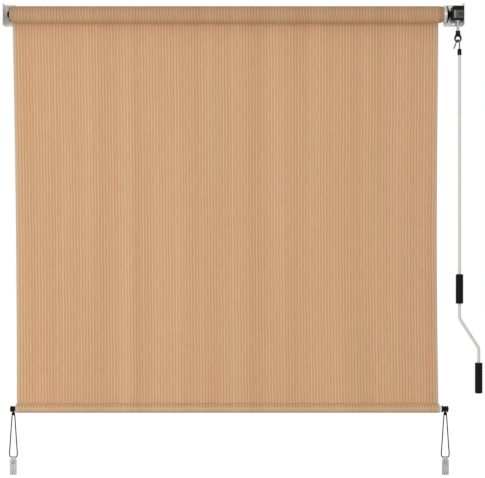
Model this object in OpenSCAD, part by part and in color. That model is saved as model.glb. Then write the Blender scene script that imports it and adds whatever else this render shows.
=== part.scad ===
// Outdoor roller shade: a knitted sun cloth on a wall-hung roller, wound by a worm
// gear and a hook-on crank wand, with a weighted hem that ties down by elastic loops.
// X runs along the roller, +Y goes into the wall, Z is up. Y = 0 is the wall and
// Z = 0 is the roller's axis. Lengths are in millimetres.

/* [Cloth] */
// Width of the cloth where it leaves the roll
fabric_w = 1834; // [1200:1:2400]
// Drop from the roller's axis to the foot of the hem
fabric_drop = 1711; // [900:1:2400]
// Thickness of the cloth
fabric_t = 1.2; // [0.8:0.1:1.6]
// Spacing of the knitted ribs
rib_pitch = 13; // [10:0.5:20]
// Height of a rib
rib_h = 0.5; // [0.2:0.1:0.8]
// How much narrower the cloth is at the hem
hem_narrowing = 14; // [0:1:30]
// Height of the hem from its stitching to its foot
hem_h = 42; // [38:1:60]

/* [Roll] */
// Turns left on the tube when the cloth is down
turns = 4; // [2:1:6]
// Radial build-up of one turn
turn_pitch = 1.38; // [1.2:0.02:1.6]
// How far the inner turns stand out at the idler end
telescope_left = 17; // [4:1:24]
// How far the inner turns stand out at the drive end
telescope_right = 16; // [4:1:24]

/* [Roller tube] */
// Outside diameter of the tube
tube_d = 63.5; // [50:0.5:80]
// Wall of the tube
tube_wall = 1.5; // [1:0.1:2.5]
// Bare tube beyond the cloth at the idler end
tube_spare_left = 4; // [4:1:30]
// Bare tube beyond the cloth at the drive end
tube_spare_right = 33; // [24:1:60]
// Distance of the roller's axis from the wall
axis_out = 56; // [54:1:70]

/* [Brackets] */
// Height of both brackets
bracket_h = 93; // [84:1:120]
// Depth of the side leg
bracket_d = 88; // [84:1:120]
// Sheet thickness
bracket_t = 2.5; // [1.5:0.1:3]
// Outside radius of the bend
bend_r = 6; // [4:0.5:12]
// Corner radius of the sheet
bracket_corner = 5; // [2:0.5:8]
// Width of the wall leg at the idler end
left_wall_w = 48; // [46:1:70]
// Width of the wall leg at the drive end
right_wall_w = 82; // [60:1:100]
// Diameter of the wall screw holes
wall_hole_d = 7; // [5:0.5:8]
// Height between the wall screw holes
wall_hole_rise = 72; // [60:1:76]
// Wall screw holes from the bracket's outer face
wall_hole_inset = 38.5; // [30:0.5:40]
// Space from bracket to tube at the idler end
idler_gap = 28; // [24:1:40]
// Space from bracket to tube at the drive end
drive_gap = 71; // [70:1:90]

/* [Roller ends] */
// Diameter of the idler pin
idler_pin_d = 10; // [8:0.5:12]
// Diameter of the idler plug's boss
idler_boss_d = 24; // [20:0.5:30]
// Length of the idler plug's boss
idler_boss_l = 9; // [6:0.5:14]
// Depth of both end plugs in the tube
plug_l = 50; // [30:1:80]
// Diameter of the drive plug's flange
flange_d = 72.6; // [68:0.2:80]
// How far the flange is dished
flange_dish = 8; // [5:0.5:10]
// Diameter of the drive plug's hub
hub_d = 28; // [24:0.5:32]

/* [Gear drive] */
// Width of the housing
housing_w = 51; // [48:0.5:58]
// Height of the housing
housing_h = 63; // [62:0.5:72]
// Top of the housing above the roller's axis
housing_top = 33; // [32:0.5:36]
// Depth of the housing
housing_d = 56; // [52:0.5:60]
// Front of the housing ahead of the roller's axis
housing_front = 33; // [33:0.5:38]
// Wall of the housing
housing_wall = 2.8; // [2:0.1:3]
// Corner radius of the housing
housing_corner = 8; // [4:0.5:10]
// Starts of the worm's thread
worm_starts = 3; // [2:1:4]
// Teeth of the wheel
wheel_teeth = 16; // [14:1:20]
// Distance from the roller's axis to the worm's axis
gear_centres = 21; // [21:0.1:22]
// Pitch radius of the wheel
wheel_pitch_r = 13.8; // [13.6:0.1:14]
// Face width of the wheel
wheel_w = 12; // [10:0.5:16]
// Length of the worm's thread
worm_l = 28; // [24:1:32]
// Diameter of the worm shaft below the thread
shaft_d = 12; // [11:0.5:13]
// Diameter of the worm shaft in the thread
worm_seat_d = 9; // [8:0.5:9.5]
// Square of the drive axle
axle_w = 11; // [9:0.5:12]
// Diameter of the axle's end journal
axle_d = 10; // [8:0.5:10.5]

/* [Crank eye] */
// Top of the eye's neck below the roller's axis
eye_drop = 73; // [70:1:90]
// Length of the neck above the ring
neck_l = 20; // [16:0.5:30]
// Diameter of the neck
neck_d = 20; // [18:0.5:24]
// Radius of the ring at the middle of its section
ring_r = 13; // [13:0.5:16]
// Section of the ring across its face
ring_face = 7; // [6:0.5:7]
// Section of the ring from front to back
ring_depth = 5.6; // [5:0.1:5.6]

/* [Wand] */
// Diameter of the hook's wire
hook_d = 5.8; // [5:0.1:5.8]
// Radius of the hook's bend at the middle of the wire
hook_r = 11; // [11:0.5:13]
// Turn of the hook's plane from the shade's face
hook_turn = 60; // [60:1:70]
// Splay of the hook's tip
hook_splay = 33; // [20:1:40]
// Length of the hook's tip
hook_tip = 34; // [26:1:40]
// Diameter of the ferrule
ferrule_d = 17.5; // [16:0.5:22]
// Length of the ferrule
ferrule_l = 27; // [20:1:40]
// Top of the ferrule below the roller's axis
ferrule_drop = 151; // [145:1:180]
// Diameter of the wand's tube
rod_d = 13.4; // [12:0.1:14]
// Wall of the wand's tube
rod_wall = 1.3; // [1:0.1:2]
// Top of the upper grip below the roller's axis
upper_grip_drop = 1113; // [700:1:1140]
// Length of the upper grip
upper_grip_l = 126; // [100:1:140]
// First bend below the roller's axis
first_bend_drop = 1302; // [1290:1:1310]
// Height between the two bends
crank_rise = 127; // [100:1:130]
// Sideways throw of the crank
crank_throw = 82; // [60:1:100]
// Radius of the bends at the middle of the tube
rod_bend_r = 36; // [24:1:50]
// Top of the lower grip below the roller's axis
lower_grip_drop = 1491; // [1480:1:1500]
// Length of the lower grip
lower_grip_l = 131; // [100:1:140]
// Diameter of both grips
grip_d = 32; // [26:0.5:38]

/* [Hem] */
// Diameter of the hem bar
hem_bar_d = 28; // [24:0.5:30]
// Wall of the hem bar
hem_bar_wall = 2; // [1.2:0.1:3]
// Bare bar beyond the hem at the drive end
hem_bar_bare = 8; // [4:0.5:14]
// Diameter of the end caps' flanges
cap_d = 28.6; // [26:0.2:29]
// Diameter of the end caps' waist
cap_waist_d = 16.6; // [12:0.2:18]
// Length of the waist
cap_waist_l = 11; // [10:0.5:14]
// Length of the inner flange
cap_inner_l = 11.5; // [10:0.5:14]
// Length of the outer flange
cap_outer_l = 5.5; // [4:0.5:8]
// Height of the domed end
cap_dome = 4; // [2:0.5:6]

/* [Tie-downs] */
// Diameter of the elastic cord
cord_d = 4.8; // [4:0.2:5]
// Width of the clip
clip_w = 30; // [28:0.5:36]
// Height of the clip
clip_h = 81; // [70:1:100]
// Sheet thickness of the clip
clip_t = 1.5; // [1:0.1:2]
// Width of the clip's folded tab
tab_w = 21.6; // [18:0.2:22]
// Inside radius of the fold
fold_r = 4.5; // [4.5:0.1:5]
// Length of the lip behind the fold
lip_l = 12; // [8:0.5:16]
// Diameter of the clip's screw holes
clip_hole_d = 5.5; // [4:0.5:6]
// Height between the clip's screw holes
clip_hole_rise = 41; // [36:1:50]

/* [Hidden] */
$fn = 64;

// Clearances: cuts run past a face by overrun, turning pieces keep run_gap, pieces
// that pass each other keep clear_gap, and fixed pieces sit in each other with seat_gap.
overrun = 1;
run_gap = 0.05;
clear_gap = 0.3;
seat_gap = 0.02;
// Lengths of one bent wire or tube run into each other by lap, and a bent tube is
// fuller than a straight one by bend_swell.
lap = 0.4;
bend_swell = 0.06;

// Places along the roller, from the idler bracket to the drive bracket.
bracket_span = fabric_w + tube_spare_left + tube_spare_right + idler_gap + drive_gap + 2 * bracket_t;
left_face = -bracket_span / 2 + bracket_t;
right_face = bracket_span / 2 - bracket_t;
tube_x0 = left_face + idler_gap;
tube_x1 = right_face - drive_gap;
fabric_x0 = tube_x0 + tube_spare_left;
fabric_x1 = fabric_x0 + fabric_w;
axis_y = -axis_out;

// The roll and the hanging cloth.
tube_r = tube_d / 2;
roll_r = tube_r + seat_gap + turns * turn_pitch;
roll_lap_left = 3;
roll_lap_right = 20;
panel_y = axis_y + roll_r + clear_gap;
panel_depth = fabric_t + rib_h;
stitch_z = -fabric_drop + hem_h;
crest_shares = [0, 0.35, 0.5, 0.85];

// The hem, its bar and the caps on the bar's ends.
hem_slack = 0.5;
hem_inner_r = hem_bar_d / 2 + hem_slack;
hem_outer_r = hem_inner_r + fabric_t;
hem_z = -fabric_drop + hem_outer_r;
hem_lean = 1.8;
hem_y = panel_y + panel_depth / 2 - hem_lean;
hem_x0 = fabric_x0 + hem_narrowing;
hem_side_lap = 6;
hem_x1 = fabric_x1 + hem_side_lap;
bar_cover = 7.5;
bar_x0 = hem_x0 + bar_cover;
bar_x1 = hem_x1 + hem_bar_bare;
cap_spigot_l = 26;

// Gear drive.
worm_x = right_face - housing_w / 2;
worm_y = axis_y - gear_centres;
gear_pitch = 2 * PI * wheel_pitch_r / wheel_teeth;
worm_lead = worm_starts * gear_pitch;
worm_pitch_r = gear_centres - wheel_pitch_r;
lead_angle = atan(worm_lead / (2 * PI * worm_pitch_r));
addendum_share = 0.22;
dedendum_share = 0.3;
tooth_share = 0.4;
pressure_angle = 20;
addendum = addendum_share * gear_pitch;
dedendum = dedendum_share * gear_pitch;
tip_half = tooth_share * gear_pitch / 2 - addendum * tan(pressure_angle);
root_half = tooth_share * gear_pitch / 2 + dedendum * tan(pressure_angle);
housing_x0 = right_face - housing_w;
housing_y0 = axis_y - housing_front;
housing_z0 = housing_top - housing_h;
cover_t = 2.2;
cover_inset = 0.4;
cover_w = 40;
cover_h = 33;
cover_left = 8;
cover_top = 18.4;
cover_boss_d = 24;
cover_boss_h = 1.2;
cover_boss_right = 15.5;
cover_rib_w = 5;
worm_bush_d = 18;
worm_bush_flange_d = 22;
worm_bush_flange_t = 2;
axle_bush_d = 16;
idler_bush_d = 16;
idler_bush_flange_d = 21;
idler_bush_flange_t = 2;
bush_proud = 0.5;
axle_clip_d = 18;
axle_clip_t = 1.6;
axle_end = 2;
hub_wall_reach = 2;
screw_d = 4;
screw_head_d = 8;
screw_head_h = 2.2;
screw_l = 14;
screw_boss_d = 9;
screw_rise = 24;
screw_back = 14;

// Wand: the hook's bend hangs on the foot of the ring.
ring_z = -eye_drop - neck_l - ring_r;
ring_foot_z = ring_z - ring_r;
hook_gap = 1;
hook_z = ring_foot_z - (hook_r - hook_d / 2 - ring_face / 2 - hook_gap);
rod_x = worm_x + hook_r * cos(hook_turn);
rod_y = worm_y - hook_r * sin(hook_turn);
ferrule_z = -ferrule_drop;
rod_socket = 16;
rod_top_z = ferrule_z - ferrule_l + rod_socket;
crank_angle = atan(crank_throw / crank_rise);
crank_l = sqrt(pow(crank_throw, 2) + pow(crank_rise, 2));
bend_cut = rod_bend_r * tan(crank_angle / 2);
grip_foot = 0.5;
rod_foot_z = -lower_grip_drop - lower_grip_l + grip_foot;
collar_d = 19;
collar_l = 4;
collar_well = 5;
grip_round = 4;

// Tie-downs: the loop's route in the hem's plane, from the cap's waist down one side,
// under the clip's fold and up the other side. Pairs are sideways and height.
waist_mid = cap_inner_l + cap_waist_l / 2;
right_loop_x = bar_x1 + waist_mid;
left_loop_x = bar_x0 - waist_mid;
loop_y = hem_y;
loop_z = hem_z;
loop_route = [[-4, -13.6], [-6, -32], [-8, -60], [-10, -90], [-12, -120], [-14, -150], [-16, -178],
    [-17, -192], [-16.5, -198], [-14.5, -203.5], [-11, -207.3], [-7, -208.8], [-2, -209], [2, -209],
    [7, -208.8], [11, -207.3], [14.5, -203.5], [16.5, -198], [17, -192], [16, -178], [14, -150],
    [12, -120], [10, -90], [8, -60], [6, -32], [4, -13.6]];
cord_sides = 8;
loop_low = 209;
fold_z = loop_z - loop_low;
clip_tab_h = 18;
clip_shoulder = 4;
clip_round = 4;
clip_hole_drop = 27;

// Turned shape about an axis along X, from a profile of [radius, x] points.
module turned_x(y, z, profile) {
    translate([0, y, z]) rotate([90, 0, 90]) rotate_extrude() polygon(profile);
}

// Round bar along X.
module bar_x(y, z, x0, x1, r) {
    translate([x0, y, z]) rotate([0, 90, 0]) cylinder(h = x1 - x0, r = r);
}

// Round bar along Z.
module bar_z(x, y, z0, z1, r) {
    translate([x, y, z0]) cylinder(h = z1 - z0, r = r);
}

// Round bar along Y.
module bar_y(x, z, y0, y1, r) {
    translate([x, y0, z]) rotate([-90, 0, 0]) cylinder(h = y1 - y0, r = r);
}

// Box between two corners.
module block(low, high) {
    translate(low) cube(high - low);
}

// Rectangle from its low corner, with four round corners.
module round_rect(w, h, r) {
    translate([r, 0]) square([w - 2 * r, h]);
    translate([0, r]) square([w, h - 2 * r]);
    for (x = [r, w - r], y = [r, h - r]) translate([x, y]) circle(r);
}

// Section of an angle bracket: the side leg runs to -Y and the wall leg to +X.
module angle_section(wall_w) {
    difference() {
        union() {
            translate([0, -bracket_d]) square([bracket_t, bracket_d - bend_r]);
            translate([bend_r, -bracket_t]) square([wall_w - bend_r, bracket_t]);
            intersection() {
                translate([bend_r, -bend_r]) circle(bend_r);
                translate([0, -bend_r]) square(bend_r);
            }
        }
        translate([bend_r, -bend_r]) circle(bend_r - bracket_t);
    }
}

// Bent sheet bracket with its corner at the origin, its corners rounded and two wall holes.
module angle_bracket(wall_w) {
    difference() {
        intersection() {
            translate([0, 0, -bracket_h / 2]) linear_extrude(bracket_h) angle_section(wall_w);
            translate([wall_w, bracket_corner, -bracket_h / 2]) rotate([90, 0, -90]) linear_extrude(wall_w)
                round_rect(bracket_d + bracket_corner, bracket_h, bracket_corner);
            translate([-bracket_corner, 0, -bracket_h / 2]) rotate([90, 0, 0])
                linear_extrude(bracket_d) round_rect(wall_w + bracket_corner, bracket_h, bracket_corner);
        }
        for (side = [-1, 1])
            bar_y(wall_hole_inset, side * wall_hole_rise / 2, -bracket_t - overrun, overrun, wall_hole_d / 2);
    }
}

module left_bracket() {
    color([0.72, 0.72, 0.73]) translate([-bracket_span / 2, 0, 0]) difference() {
        angle_bracket(left_wall_w);
        bar_x(axis_y, 0, -overrun, bracket_t + overrun, idler_bush_d / 2);
    }
}

module right_bracket() {
    color([0.82, 0.82, 0.83]) translate([bracket_span / 2, 0, 0]) mirror([1, 0, 0]) difference() {
        angle_bracket(right_wall_w);
        bar_x(axis_y, 0, -overrun, bracket_t + overrun, axle_bush_d / 2);
        for (side = [-1, 1])
            bar_x(axis_y + screw_back, side * screw_rise, -overrun, bracket_t + overrun,
                screw_d / 2 + seat_gap);
    }
}

// Flanged bush in the idler bracket, in which the idler pin turns.
module idler_bush() {
    bore_r = idler_pin_d / 2 + run_gap;
    body_r = idler_bush_d / 2 - seat_gap;
    flange_r = idler_bush_flange_d / 2;
    x0 = left_face - bracket_t - bush_proud;
    x1 = left_face + idler_bush_flange_t;
    color([0.9, 0.9, 0.88]) turned_x(axis_y, 0, [[bore_r, x0], [body_r, x0], [body_r, left_face],
        [flange_r, left_face], [flange_r, x1], [bore_r, x1]]);
}

// Plain bush in the drive bracket, round the axle's end.
module axle_bush() {
    x0 = right_face - bush_proud;
    x1 = right_face + bracket_t + bush_proud;
    bore_r = axle_d / 2 + run_gap;
    body_r = axle_bush_d / 2 - seat_gap;
    color([0.9, 0.9, 0.88]) turned_x(axis_y, 0, [[bore_r, x0], [body_r, x0], [body_r, x1], [bore_r, x1]]);
}

// Housing outline, shrunk by inset, from front to back along Y. It is open to the bracket.
module housing_form(inset, open_by) {
    d = housing_d - 2 * inset;
    h = housing_h - 2 * inset;
    w = housing_w - inset;
    intersection() {
        translate([housing_x0 + inset, housing_y0 + inset + d, housing_z0 + inset]) rotate([90, 0, 0])
            linear_extrude(d) round_rect(w + 2 * housing_corner, h, housing_corner - inset);
        block([housing_x0, housing_y0, housing_z0],
            [right_face + open_by, housing_y0 + housing_d, housing_top]);
    }
}

// Place of the cover's low corner in the housing's front.
cover_x0 = housing_x0 + cover_left;
cover_z0 = housing_top - cover_top - cover_h;
top_boss_z = worm_l / 2 + 2 * addendum;
top_boss_d = 16;
low_boss_d = 23;
low_boss_z = -worm_l / 2 - 2 * addendum;

module gear_housing() {
    color([0.1, 0.1, 0.1]) difference() {
        union() {
            difference() {
                housing_form(0, 0);
                housing_form(housing_wall, overrun);
            }
            bar_z(worm_x, worm_y, top_boss_z, housing_top - housing_wall / 2, top_boss_d / 2);
            intersection() {
                bar_z(worm_x, worm_y, housing_z0, low_boss_z, low_boss_d / 2);
                housing_form(0, 0);
            }
            for (side = [-1, 1]) intersection() {
                bar_x(axis_y + screw_back, side * screw_rise, right_face - screw_l, right_face,
                    screw_boss_d / 2);
                housing_form(0, 0);
            }
            for (side = [-1, 1])
                block([right_face - screw_l, axis_y + screw_back - housing_wall / 2,
                    side > 0 ? screw_rise : housing_z0 + housing_wall / 2],
                    [right_face, axis_y + screw_back + housing_wall / 2,
                    side > 0 ? housing_top - housing_wall / 2 : -screw_rise]);
        }
        bar_x(axis_y, 0, housing_x0 - overrun, housing_x0 + housing_wall + overrun, hub_d / 2 + run_gap);
        bar_z(worm_x, worm_y, top_boss_z - overrun, housing_top - housing_wall / 2,
            worm_seat_d / 2 + run_gap);
        bar_z(worm_x, worm_y, housing_z0 - overrun, low_boss_z + overrun, worm_bush_d / 2);
        for (side = [-1, 1])
            bar_x(axis_y + screw_back, side * screw_rise, right_face - screw_l + housing_wall,
                right_face + overrun, screw_d / 2 + seat_gap);
        block([cover_x0, housing_y0 - overrun, cover_z0],
            [cover_x0 + cover_w, housing_y0 + housing_wall + overrun, cover_z0 + cover_h]);
    }
}

// Grey cover let into the housing's front, with a raised strip and a round boss.
module housing_cover() {
    face_y = housing_y0 + cover_inset;
    boss_x = right_face - cover_boss_right;
    boss_z = cover_z0 + cover_h / 2;
    color([0.45, 0.45, 0.46]) difference() {
        union() {
            block([cover_x0 + seat_gap, face_y, cover_z0 + seat_gap],
                [cover_x0 + cover_w - seat_gap, face_y + cover_t, cover_z0 + cover_h - seat_gap]);
            block([cover_x0 + cover_rib_w / 2, face_y - cover_boss_h, cover_z0 + cover_rib_w / 2],
                [cover_x0 + 3 * cover_rib_w / 2, face_y + cover_t, cover_z0 + cover_h - cover_rib_w / 2]);
            bar_y(boss_x, boss_z, face_y - cover_boss_h, face_y + cover_t, cover_boss_d / 2);
        }
        bar_y(boss_x, boss_z, face_y - cover_boss_h - overrun, face_y, cover_boss_d / 2 - cover_rib_w / 2);
    }
}

// Two pan head screws that hold the housing to the bracket.
module housing_screws() {
    head_x = right_face + bracket_t;
    color([0.7, 0.7, 0.72]) for (side = [-1, 1]) {
        bar_x(axis_y + screw_back, side * screw_rise, right_face - screw_l + housing_wall + overrun, head_x,
            screw_d / 2);
        turned_x(axis_y + screw_back, side * screw_rise, [[0, head_x], [screw_head_d / 2, head_x],
            [screw_head_d / 2, head_x + screw_head_h / 2], [screw_head_d / 4, head_x + screw_head_h],
            [0, head_x + screw_head_h]]);
    }
}

// Flanged bush at the foot of the housing, round the worm shaft.
module worm_bush() {
    bore_r = shaft_d / 2 + run_gap;
    body_r = worm_bush_d / 2 - seat_gap;
    flange_z = housing_z0 - worm_bush_flange_t;
    color([0.9, 0.9, 0.88]) translate([worm_x, worm_y, 0]) rotate_extrude() polygon([[bore_r, flange_z],
        [worm_bush_flange_d / 2, flange_z], [worm_bush_flange_d / 2, housing_z0], [body_r, housing_z0],
        [body_r, low_boss_z], [bore_r, low_boss_z]]);
}

module roller_tube() {
    bore_r = tube_r - tube_wall;
    color([0.85, 0.85, 0.86]) turned_x(axis_y, 0, [[bore_r, tube_x0], [tube_r, tube_x0], [tube_r, tube_x1],
        [bore_r, tube_x1]]);
}

// Cloth left on the tube: each turn out is a step shorter at both ends.
function turn_r(k) = tube_r + seat_gap + k * turn_pitch;
function turn_x0(k) = fabric_x0 - roll_lap_left + k * telescope_left / (turns - 1);
function turn_x1(k) = fabric_x1 + roll_lap_right - k * telescope_right / (turns - 1);

module fabric_roll() {
    left_steps = [for (k = [0 : turns - 1]) each [[turn_r(k), turn_x0(k)], [turn_r(k + 1), turn_x0(k)]]];
    right_steps = [for (k = [turns - 1 : -1 : 0]) each
        [[turn_r(k + 1), turn_x1(k)], [turn_r(k), turn_x1(k)]]];
    color([0.78, 0.61, 0.46]) turned_x(axis_y, 0, concat(left_steps, right_steps));
}

// End plugs: a skirt in the tube, a boss on the axis and ribs between them.
plug_r = tube_r - tube_wall - seat_gap;
plug_wall = 3;
plug_web = 6;
plug_boss_d = 26;
plug_ribs = 6;
plug_lip = 3;

module plug_rib_ring(x0, x1) {
    for (k = [0 : plug_ribs - 1]) translate([x0, axis_y, 0]) rotate([k * 360 / plug_ribs, 0, 0])
        translate([0, plug_boss_d / 2 - plug_wall / 2, -plug_wall / 2])
            cube([x1 - x0, plug_r - plug_boss_d / 2, plug_wall]);
}

module idler_plug() {
    bore_r = idler_pin_d / 2 + seat_gap;
    outer_r = idler_boss_d / 2;
    inner_r = plug_boss_d / 2;
    skirt_r = plug_r - plug_wall;
    lip_x = tube_x0 - plug_lip;
    web_x = tube_x0 + plug_web;
    end_x = tube_x0 + plug_l;
    color([0.1, 0.1, 0.1]) union() {
        turned_x(axis_y, 0, [[bore_r, lip_x - idler_boss_l], [outer_r, lip_x - idler_boss_l],
            [outer_r, lip_x], [tube_r, lip_x], [tube_r, tube_x0], [plug_r, tube_x0], [plug_r, end_x],
            [skirt_r, end_x], [skirt_r, web_x], [inner_r, web_x], [inner_r, end_x], [bore_r, end_x]]);
        plug_rib_ring(web_x - overrun, end_x - plug_wall);
    }
}

// Steel pin from the idler plug through the bush in the bracket.
module idler_pin() {
    color([0.75, 0.75, 0.77]) bar_x(axis_y, 0, left_face - bracket_t - plug_lip, tube_x0 + plug_l,
        idler_pin_d / 2);
}

// Plug with a dished flange against the tube's end and a hub that runs in the housing.
module drive_plug() {
    hub_x = housing_x0 + housing_wall + hub_wall_reach;
    hub_r = hub_d / 2;
    flange_r = flange_d / 2;
    inner_r = plug_boss_d / 2;
    skirt_r = plug_r - plug_wall;
    web_x = tube_x1 - plug_web;
    end_x = tube_x1 - plug_l;
    hole = axle_w / 2 + seat_gap;
    color([0.1, 0.1, 0.1]) difference() {
        union() {
            turned_x(axis_y, 0, [[0, end_x], [inner_r, end_x], [inner_r, web_x], [skirt_r, web_x],
                [skirt_r, end_x], [plug_r, end_x], [plug_r, tube_x1], [flange_r, tube_x1],
                [flange_r, tube_x1 + plug_lip], [hub_r, tube_x1 + plug_lip + flange_dish], [hub_r, hub_x],
                [0, hub_x]]);
            plug_rib_ring(end_x + plug_wall, web_x + overrun);
        }
        block([end_x - overrun, axis_y - hole, -hole], [hub_x + overrun, axis_y + hole, hole]);
    }
}

// Square axle in plug and wheel, turned round where it runs in the bracket.
module drive_axle() {
    square_x = worm_x + wheel_w / 2 + plug_lip;
    color([0.75, 0.75, 0.77]) union() {
        block([tube_x1 - plug_l, axis_y - axle_w / 2, -axle_w / 2],
            [square_x, axis_y + axle_w / 2, axle_w / 2]);
        bar_x(axis_y, 0, square_x - overrun, right_face + bracket_t + bush_proud + axle_clip_t + axle_end,
            axle_d / 2);
    }
}

// Push-on retaining ring on the axle's end.
module axle_clip() {
    x0 = right_face + bracket_t + bush_proud + clear_gap;
    bore_r = axle_d / 2 + seat_gap;
    color([0.75, 0.75, 0.77]) turned_x(axis_y, 0, [[bore_r, x0], [axle_clip_d / 2, x0],
        [axle_clip_d / 2, x0 + axle_clip_t / 2], [axle_clip_d / 4 + axle_d / 4, x0 + axle_clip_t],
        [bore_r, x0 + axle_clip_t]]);
}

// Outline of the wheel in its own plane. A gap between teeth faces the worm.
function polar(r, a) = [r * cos(a), r * sin(a)];
function arc_angle(length, r) = length / r * 180 / PI;

module wheel_outline() {
    step = 360 / wheel_teeth;
    tip_a = arc_angle(tip_half, wheel_pitch_r);
    root_a = arc_angle(root_half, wheel_pitch_r);
    polygon([for (k = [0 : wheel_teeth - 1]) let (mid = 180 + (k + 1 / 2) * step) each
        [polar(wheel_pitch_r - dedendum, mid - root_a), polar(wheel_pitch_r + addendum, mid - tip_a),
        polar(wheel_pitch_r + addendum, mid + tip_a), polar(wheel_pitch_r - dedendum, mid + root_a)]]);
}

// Helical wheel on the axle: its teeth slope as the worm's thread does.
wheel_slices = 6;

module worm_wheel() {
    twist_angle = arc_angle(wheel_w * tan(lead_angle), wheel_pitch_r);
    hole = axle_w / 2 + seat_gap;
    color([0.8, 0.65, 0.3]) translate([worm_x - wheel_w / 2, axis_y, 0]) rotate([90, 0, 90]) difference() {
        rotate(-twist_angle / 2) linear_extrude(wheel_w, twist = -twist_angle, slices = wheel_slices)
            wheel_outline();
        block([-hole, -hole, -overrun], [hole, hole, wheel_w + overrun]);
    }
}

// Section of the worm: a thread of each start faces the wheel at mid-height.
worm_bore_sides = 18;
worm_slices = 40;

module worm_section() {
    step = 360 / worm_starts;
    tip_a = 360 * tip_half / worm_lead;
    root_a = 360 * root_half / worm_lead;
    tip_r = worm_pitch_r + addendum;
    root_r = worm_pitch_r - dedendum;
    difference() {
        polygon([for (k = [0 : worm_starts - 1]) let (mid = 90 + k * step) each
            [polar(root_r, mid - step / 2), polar(root_r, mid - root_a), polar(tip_r, mid - tip_a),
            polar(tip_r, mid), polar(tip_r, mid + tip_a), polar(root_r, mid + root_a)]]);
        circle((worm_seat_d / 2 + run_gap) / cos(180 / worm_bore_sides), $fn = worm_bore_sides);
    }
}

module worm_thread() {
    turn = 360 * worm_l / worm_lead;
    color([0.7, 0.7, 0.72]) translate([worm_x, worm_y, -worm_l / 2]) rotate(-turn / 2)
        linear_extrude(worm_l, twist = -turn, slices = worm_slices, $fn = worm_bore_sides) worm_section();
}

// Stepped shaft: the worm sits on its shoulder and the eye is pinned to its foot.
eye_socket = 16;
eye_pin_d = 4;
eye_pin_drop = 8;

module worm_shaft() {
    color([0.78, 0.78, 0.8]) difference() {
        union() {
            bar_z(worm_x, worm_y, -eye_drop - eye_socket, -worm_l / 2, shaft_d / 2);
            bar_z(worm_x, worm_y, -worm_l / 2 - overrun, housing_top - housing_wall, worm_seat_d / 2);
        }
        bar_x(worm_y, -eye_drop - eye_pin_drop, worm_x - shaft_d, worm_x + shaft_d, eye_pin_d / 2 + seat_gap);
    }
}

// Moulded eye: a neck on the shaft, shoulders webbed to the upper half of a ring for the hook.
eye_hole_r = 8;
shoulder_share = 0.88;
shoulder_drop_share = 0.48;

module crank_eye() {
    neck_z = -eye_drop - neck_l;
    rim_r = ring_r + ring_face / 2;
    color([0.1, 0.1, 0.1]) difference() {
        union() {
            bar_z(worm_x, worm_y, neck_z + ring_face / 2, -eye_drop, neck_d / 2);
            translate([worm_x, worm_y, neck_z]) cylinder(h = ring_face / 2, r1 = neck_d / 4, r2 = neck_d / 2);
            translate([worm_x, worm_y + ring_depth / 2, ring_z]) rotate([90, 0, 0]) linear_extrude(ring_depth)
                difference() {
                    polygon([[-neck_d / 2, ring_r + ring_face], [neck_d / 2, ring_r + ring_face],
                        [rim_r * shoulder_share, rim_r * shoulder_drop_share], [ring_r, 0], [-ring_r, 0],
                        [-rim_r * shoulder_share, rim_r * shoulder_drop_share]]);
                    circle(eye_hole_r);
                }
            translate([worm_x, worm_y, ring_z]) rotate([90, 0, 0]) rotate_extrude() translate([ring_r, 0]) {
                square([ring_face - ring_depth, ring_depth], center = true);
                for (side = [-1, 1])
                    translate([side * (ring_face - ring_depth) / 2, 0]) circle(ring_depth / 2);
            }
        }
        bar_z(worm_x, worm_y, -eye_drop - eye_socket, -eye_drop + overrun, shaft_d / 2 + seat_gap);
        bar_x(worm_y, -eye_drop - eye_pin_drop, worm_x - neck_d, worm_x + neck_d, eye_pin_d / 2 + seat_gap);
    }
}

module eye_pin() {
    color([0.7, 0.7, 0.72])
        bar_x(worm_y, -eye_drop - eye_pin_drop, worm_x - neck_d / 2, worm_x + neck_d / 2, eye_pin_d / 2);
}

// Hanging cloth with upright knitted ribs, narrower at the hem on the idler side.
module fabric_panel() {
    ribs = floor(fabric_w / rib_pitch);
    first = fabric_x0 + (fabric_w - ribs * rib_pitch) / 2;
    wave_y = [rib_h, rib_h, 0, 0];
    front = [[fabric_x0, rib_h],
        for (i = [0 : ribs - 1], j = [0 : 3]) if (i + j > 0)
            [first + (i + crest_shares[j]) * rib_pitch, wave_y[j]],
        [fabric_x1, 0]];
    back = [for (i = [len(front) - 1 : -1 : 0]) front[i] + [0, fabric_t]];
    color([0.81, 0.65, 0.49]) difference() {
        translate([0, panel_y, stitch_z]) linear_extrude(-stitch_z) polygon(concat(front, back));
        translate([0, panel_y + panel_depth + overrun, 0]) rotate([90, 0, 0])
            linear_extrude(panel_depth + 2 * overrun)
            polygon([[fabric_x0 - overrun, overrun], [fabric_x0, 0], [fabric_x0 + hem_narrowing, stitch_z],
                [fabric_x0 + hem_narrowing, stitch_z - overrun],
                [fabric_x0 - overrun, stitch_z - overrun]]);
    }
}

// Hem: the cloth goes round the bar and is stitched to itself above it.
module hem_sleeve() {
    color([0.79, 0.63, 0.47]) translate([hem_x0, 0, 0]) rotate([90, 0, 90]) linear_extrude(hem_x1 - hem_x0)
        difference() {
            union() {
                translate([hem_y, hem_z]) circle(hem_outer_r);
                translate([panel_y, hem_z]) square([2 * fabric_t, stitch_z - hem_z]);
            }
            translate([hem_y, hem_z]) circle(hem_inner_r);
        }
}

module hem_bar() {
    color([0.9, 0.9, 0.88]) difference() {
        bar_x(hem_y, hem_z, bar_x0, bar_x1, hem_bar_d / 2);
        bar_x(hem_y, hem_z, bar_x0 - overrun, bar_x1 + overrun, hem_bar_d / 2 - hem_bar_wall);
    }
}

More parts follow.
